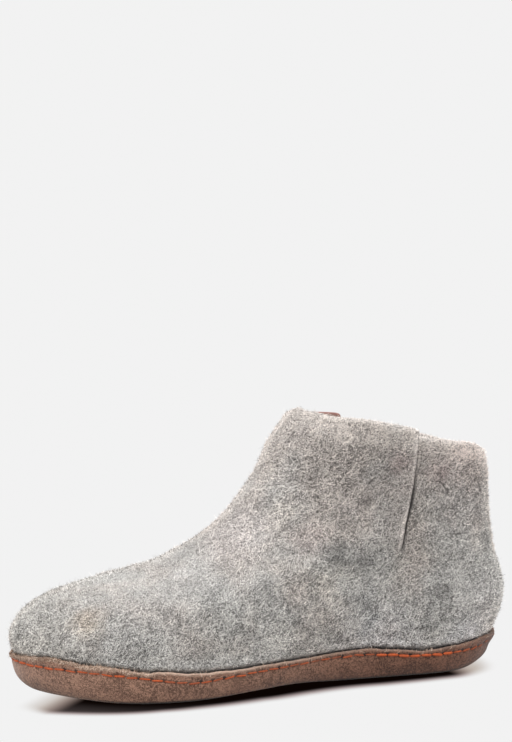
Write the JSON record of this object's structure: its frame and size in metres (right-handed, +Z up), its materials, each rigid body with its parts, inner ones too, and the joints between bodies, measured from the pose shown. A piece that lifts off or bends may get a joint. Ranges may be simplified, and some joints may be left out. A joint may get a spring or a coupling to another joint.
{
  "type": "ankle slipper",
  "caption": "Ankle-high house slipper of thick grey wool felt with a side slit at the collar, on a soft brown suede sole turned up round its edge.",
  "frame": {"origin": "on the floor plane, under the middle of the slipper's length and width", "axes": "+X from toe to heel, +Y toward the inner side of the foot, +Z up"},
  "size_m": [0.2749, 0.105, 0.1406],
  "materials": {
    "wool_felt": "matt, fuzzy felted wool",
    "suede": "matt napped suede",
    "inlay_felt": "matt felt",
    "tab_leather": "satin leather"
  },
  "bodies": {
    "root": {"upper": "wool_felt", "sole": "suede", "insole": "inlay_felt", "collar_tab": "tab_leather"}
  },
  "joints": []
}
